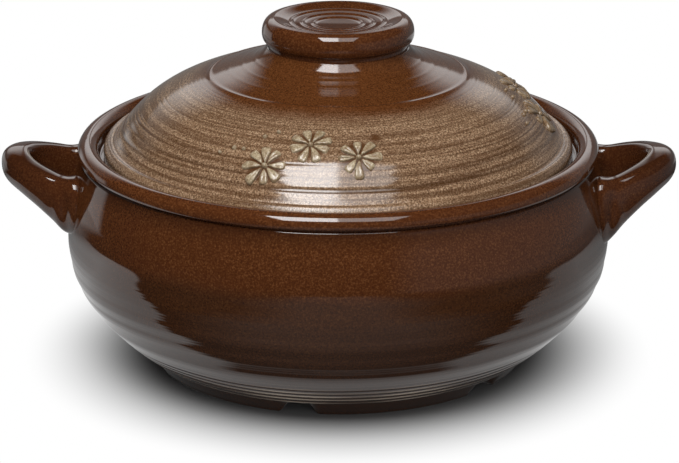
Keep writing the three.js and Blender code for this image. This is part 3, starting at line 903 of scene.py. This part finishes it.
def makeDaisies():
    shape = daisyShape
    daisy = pressDaisy()
    deselectAll()
    bpy.ops.mesh.primitive_uv_sphere_add(segments=12, ring_count=8, radius=mm)
    bud = bpy.context.object
    bpy.ops.object.shade_smooth()
    places = []
    dice = np.random.default_rng(shape["seed"])
    for group in range(shape["groups"]):
        middle = shape["firstGroup"] + group * shape["groupSpacing"]
        cover = shape["washCover"][group]
        for word, (inset, turn, size, own) in shape["flowers"].items():
            node = "daisy_%d_%s" % (group + 1, word)
            reach = lidShape["edgeRadius"] - inset
            piece = luteOnDome(daisy, node + "_sprig", reach, middle + turn, size, own, cover, dice)
            finishPiece(piece, "cover", "petal_slip", [petalSlip], node)
            places.append((reach, middle + turn, size * 0.75, 0.85))
        for i, (reach, turn, size) in enumerate(shape["buds"]):
            name = "bud_%d_%d" % (group + 1, i + 1)
            piece = luteOnDome(bud, name, reach, middle + turn, size, 0, cover, dice)
            finishPiece(piece, "cover", "petal_slip", [petalSlip])
            places.append((reach, middle + turn, size * 0.6, 0.7))
        reach, turn, size = shape["brushMark"]
        places.append((reach, middle + turn, size, 0.85))
    markPools(places)
    bpy.data.objects.remove(daisy)
    bpy.data.objects.remove(bud)


makeDaisies()
print("daisies luted")


# studio: two soft boxes overhead, a plain fill from the front and a pale table
studioSetup = {
    "floorSize": 1.1,
    "sheetMiddle": (-25, 50),  # the glaze mirrors a pale sheet under the pot, and a dark table round it
    "sheetReach": (300, 138),
    "boxSize": (0.36, 0.62),  # two boxes side by side, the left one turned up
    "boxPlaces": ((-0.18, -0.49, 0.914), (0.18, -0.49, 0.914)),
    "boxPowers": (8.6, 2.4),
    "boxAim": 0.1,
    "fillPlace": (0.1, -0.95, 0.4),
    "fillAim": (0, 0, 0.07),
    "fillSize": (0.6, 0.6),
    "fillPower": 2.2,
    "roomLight": 0.17,
    "wallGlow": 1.7,
    "cameraPlace": (0, -1.15, 0.4386),
    "cameraPitch": 18.67,
    "cameraLens": 157.15,
    "cameraShift": 0.002,
}
# masks on the floor: measured along what, from, to, strength at both ends, blend
floorGlow = {
    "white": ("reach", 0.076, 0.131, 0.0, 1.0, "SMOOTHSTEP"),  # for the camera: grey near the pot, white further out, a painted shadow round the pot
    "sheet": ("oval", 0.95, 1.05, 1.0, 0.0, "LINEAR"),
    "paintedPotShadow": ("reach", 0.086, 0.108, 0.0, 1.0, "LINEAR"),  # painted shadow: the sheet's glow is dark under the pot
    "leftGlow": ("x", -0.25, 0.1, 0.95, 0.5, "LINEAR"),
    "backShade": ("y", 0.03, 0.15, 1.0, 0.2, "LINEAR"),
    "narrow": ("aside", 0.07, 0.17, 0.25, 0.03, "LINEAR"),
    "near": ("y", -0.1, -0.16, 0.25, 1.0, "LINEAR"),
    "rightGrey": ("x", 0.2, 0.45, 0.02, 0.2, "LINEAR"),
    "back": ("y", 0.28, 0.38, 0.0, 1.0, "LINEAR"),
    "backRight": ("x", -0.1, 0.1, 0.15, 0.65, "LINEAR"),
    "farLeft": ("x", -0.2, -0.28, 0.0, 0.5, "LINEAR"),
    "leftBehind": ("y", 0.13, 0.2, 0.0, 1.0, "LINEAR"),
    "lipStart": ("reach", 0.083, 0.089, 0.0, 1.0, "SMOOTHSTEP"),  # a ring of light shows in the turning lines
    "lipEnd": ("reach", 0.095, 0.104, 0.55, 0.0, "LINEAR"),
}
floorAreas = {
    "bare": ("sheet", "paintedPotShadow"),
    "sheetShade": ("leftGlow", "backShade"),
    "frontGrey": ("narrow", "near"),
    "farBack": ("back", "backRight"),
    "leftPatch": ("farLeft", "leftBehind"),
    "lip": ("lipStart", "lipEnd"),
}
# the same for the room that the glaze mirrors, by direction
roomGlow = {
    "behind": ("y", 0.5, 0.62, 0.0, 1.0, "LINEAR"),
    "wide": ("aside", 0.2, 0.6, 1.0, 0.15, "SMOOTHSTEP"),
    "gap": ("aside", 0.012, 0.05, 0.3, 1.0, "SMOOTHSTEP"),
    "band": ("z", 0.235, 0.275, 0.13, 1.0, "SMOOTHSTEP"),
    "lowWall": ("z", 0.42, 0.6, 1.0, 0.0, "LINEAR"),
    "rightWall": ("x", 0.3, 0.6, 0.02, 0.25, "SMOOTHSTEP"),
    "lowRight": ("z", 0.2, 0.4, 1.0, 0.2, "SMOOTHSTEP"),
    "leftSide": ("x", -0.4, -0.5, 0.0, 1.0, "LINEAR"),
    "leftBack": ("y", 0.44, 0.5, 0.0, 1.0, "LINEAR"),
    "leftLow": ("z", 0.05, 0.2, 0.9, 0.0, "LINEAR"),
}
roomAreas = {
    "wall": ("wide", "gap", "band", "behind", "lowWall"),
    "rightSide": ("rightWall", "lowRight"),
    "leftCorner": ("leftSide", "leftBack", "leftLow"),
}


def mixGlow(tree, masks, areas, ways):
    # each mask made along its way, then the masks of each area multiplied
    glow = {}
    for name, (way, start, end, first, last, blend) in masks.items():
        mask = addNode(tree, "MapRange", {"interpolation_type": blend, "From Min": start, "From Max": end,
                                          "To Min": first, "To Max": last}, {"Value": ways[way]})
        glow[name] = mask.outputs["Result"]
    for name, parts in areas.items():
        glow[name] = glow[parts[0]]
        for part in parts[1:]:
            product = addNode(tree, "Math", {"operation": "MULTIPLY"}, {0: glow[name], 1: glow[part]})
            glow[name] = product.outputs["Value"]
    return glow


def makeFloor():
    deselectAll()
    bpy.ops.mesh.primitive_plane_add(size=studioSetup["floorSize"])
    floor = bpy.context.object
    floor.name = "studioFloor"
    material, tree = newMaterial("paleTable")
    coords = addNode(tree, "TexCoord").outputs["Object"]
    path = addNode(tree, "LightPath")
    reach = addNode(tree, "VectorMath", {"operation": "LENGTH"}, {0: coords})
    middleX, middleY = studioSetup["sheetMiddle"]
    reachX, reachY = studioSetup["sheetReach"]
    sheetPlace = addNode(tree, "Mapping", {"vector_type": "TEXTURE",
                                           "Location": (middleX * mm, middleY * mm, 0),
                                           "Scale": (reachX * mm, reachY * mm, 1)}, {"Vector": coords})
    squared = addNode(tree, "VectorMath", {"operation": "MULTIPLY"}, {0: sheetPlace.outputs["Vector"],
                                                                      1: sheetPlace.outputs["Vector"]})
    oval = addNode(tree, "VectorMath", {"operation": "LENGTH"}, {0: squared.outputs["Vector"]})
    sides = addNode(tree, "SeparateXYZ", None, {"Vector": coords})
    aside = addNode(tree, "Math", {"operation": "ABSOLUTE"}, {0: sides.outputs["X"]})
    ways = {"reach": reach.outputs["Value"], "oval": oval.outputs["Value"], "aside": aside.outputs["Value"],
            "x": sides.outputs["X"], "y": sides.outputs["Y"]}
    glow = mixGlow(tree, floorGlow, floorAreas, ways)
    grey = addNode(tree, "Math", {"operation": "MAXIMUM"}, {0: glow["frontGrey"], 1: glow["rightGrey"]})
    shine = addNode(tree, "Math", {"operation": "MULTIPLY_ADD"}, {0: glow["bare"], 1: glow["sheetShade"],
                                                                  2: grey.outputs["Value"]})
    for name in ("lip", "leftPatch", "farBack"):
        shine = addNode(tree, "Math", {"operation": "MAXIMUM"}, {0: shine.outputs["Value"], 1: glow[name]})
    # painted shadow: the floor is grey near the pot for the camera, and only white further out
    lit = addNode(tree, "BsdfDiffuse", {"Color": tint("#808080")})
    white = addNode(tree, "Emission", {"Strength": 1.0})
    seen = addNode(tree, "MixShader", None, {0: glow["white"], 1: lit.outputs["BSDF"],
                                             2: white.outputs["Emission"]})
    mirrored = addNode(tree, "Emission", None, {"Strength": shine.outputs["Value"]})
    bounce = addNode(tree, "BsdfDiffuse", {"Color": tint("#9a9a9a")})
    unseen = addNode(tree, "MixShader", None, {0: path.outputs["Is Glossy Ray"], 1: bounce.outputs["BSDF"],
                                               2: mirrored.outputs["Emission"]})
    both = addNode(tree, "MixShader", None, {0: path.outputs["Is Camera Ray"], 1: unseen.outputs["Shader"],
                                             2: seen.outputs["Shader"]})
    addNode(tree, "OutputMaterial", None, {"Surface": both.outputs["Shader"]})
    floor.data.materials.append(material)


def makeRoom():
    world = bpy.data.worlds.new("studioRoom")
    bpy.context.scene.world = world
    world.use_nodes = True
    tree = world.node_tree
    tree.nodes.clear()
    path = addNode(tree, "LightPath")
    heading = addNode(tree, "TexCoord").outputs["Generated"]
    sides = addNode(tree, "SeparateXYZ", None, {"Vector": heading})
    aside = addNode(tree, "Math", {"operation": "ABSOLUTE"}, {0: sides.outputs["X"]})
    ways = {"aside": aside.outputs["Value"], "x": sides.outputs["X"], "y": sides.outputs["Y"],
            "z": sides.outputs["Z"]}
    glow = mixGlow(tree, roomGlow, roomAreas, ways)
    around = addNode(tree, "Math", {"operation": "MAXIMUM"}, {0: glow["rightSide"], 1: glow["leftCorner"]})
    strength = addNode(tree, "Math", {"operation": "MULTIPLY_ADD", 1: studioSetup["wallGlow"]},
                       {0: glow["wall"], 2: around.outputs["Value"]})
    mirrored = addNode(tree, "Background", None, {"Strength": strength.outputs["Value"]})
    soft = addNode(tree, "Background", {"Strength": studioSetup["roomLight"]})
    unseen = addNode(tree, "MixShader", None, {0: path.outputs["Is Glossy Ray"],
                                               1: soft.outputs["Background"],
                                               2: mirrored.outputs["Background"]})
    white = addNode(tree, "Background", {"Color": (1, 1, 1, 1), "Strength": 1.0})
    both = addNode(tree, "MixShader", None, {0: path.outputs["Is Camera Ray"], 1: unseen.outputs["Shader"],
                                             2: white.outputs["Background"]})
    addNode(tree, "OutputWorld", None, {"Surface": both.outputs["Shader"]})


def hangLight(name, place, target, size, power):
    deselectAll()
    bpy.ops.object.light_add(type="AREA", location=place)
    light = bpy.context.object
    light.name = name
    light.data.shape = "RECTANGLE"
    light.data.size, light.data.size_y = size
    light.data.energy = power
    light.visible_camera = False
    aim = [b - a for a, b in zip(place, target)]
    light.rotation_euler = (math.atan2(math.hypot(aim[0], aim[1]), -aim[2]), 0, math.atan2(-aim[0], aim[1]))
    return light


def setCamera():
    deselectAll()
    pitch = math.radians(90 - studioSetup["cameraPitch"])
    bpy.ops.object.camera_add(location=studioSetup["cameraPlace"], rotation=(pitch, 0, 0))
    camera = bpy.context.object
    camera.data.lens = studioSetup["cameraLens"]
    camera.data.sensor_width = 36
    camera.data.sensor_fit = "HORIZONTAL"
    camera.data.shift_x = studioSetup["cameraShift"]
    bpy.context.scene.camera = camera


makeFloor()
makeRoom()
for side, place, power in zip(("Left", "Right"), studioSetup["boxPlaces"], studioSetup["boxPowers"]):
    hangLight("overhead" + side, place, (place[0], 0, studioSetup["boxAim"]), studioSetup["boxSize"], power)
fill = hangLight("frontFill", studioSetup["fillPlace"], studioSetup["fillAim"], studioSetup["fillSize"],
                 studioSetup["fillPower"])
fill.visible_glossy = False
setCamera()
bpy.context.scene.view_settings.view_transform = "Standard"
print("studio lit")
